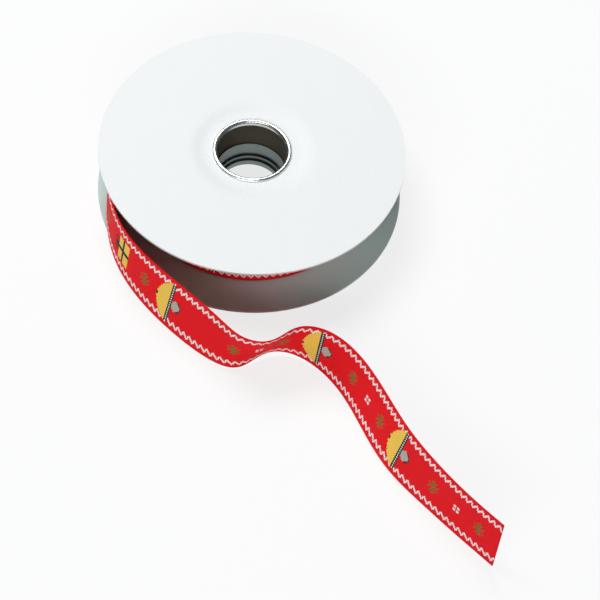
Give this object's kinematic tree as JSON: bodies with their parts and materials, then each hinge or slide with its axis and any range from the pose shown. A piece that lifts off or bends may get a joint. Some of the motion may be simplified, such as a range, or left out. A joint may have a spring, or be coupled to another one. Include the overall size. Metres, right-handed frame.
{
  "type": "ribbon spool",
  "caption": "White paperboard flange spool with a metal eyelet hub, full of red woven ribbon whose free end is pulled out in a wave.",
  "frame": {"origin": "centre of the hub, on its axis, half way between the outer faces of the two flanges", "axes": "+Z along the hub's axis, up when the spool lies on its lower flange; the free end leaves on -X and comes forward to -Y"},
  "size_m": [0.1519, 0.2139, 0.0244],
  "materials": {
    "white_paper": "smooth, uncoated",
    "board": "cut edge, layered",
    "core_board": "spiral wound",
    "core_liner": "smooth brown kraft",
    "tinned_steel": "bright, drawn and curled",
    "tape": "clear film",
    "ribbon": "woven picture ribbon, soft sheen"
  },
  "bodies": {
    "spool": {"upper_flange_facing": "white_paper", "upper_flange_board": "board", "upper_flange_lining": "white_paper", "lower_flange_lining": "white_paper", "lower_flange_board": "board", "lower_flange_facing": "white_paper", "core_tube": "core_board", "core_liner": "core_liner", "upper_eyelet": "tinned_steel", "lower_eyelet": "tinned_steel", "start_tape": "tape", "ribbon_roll": "ribbon"},
    "free_end": {"ribbon_tail": "ribbon"}
  },
  "joints": [
    {"name": "unwind", "type": "hinge", "parent": "spool", "child": "free_end", "pos_m": [0, 0, 0], "axis": [0, 0, 1], "continuous": true}
  ]
}
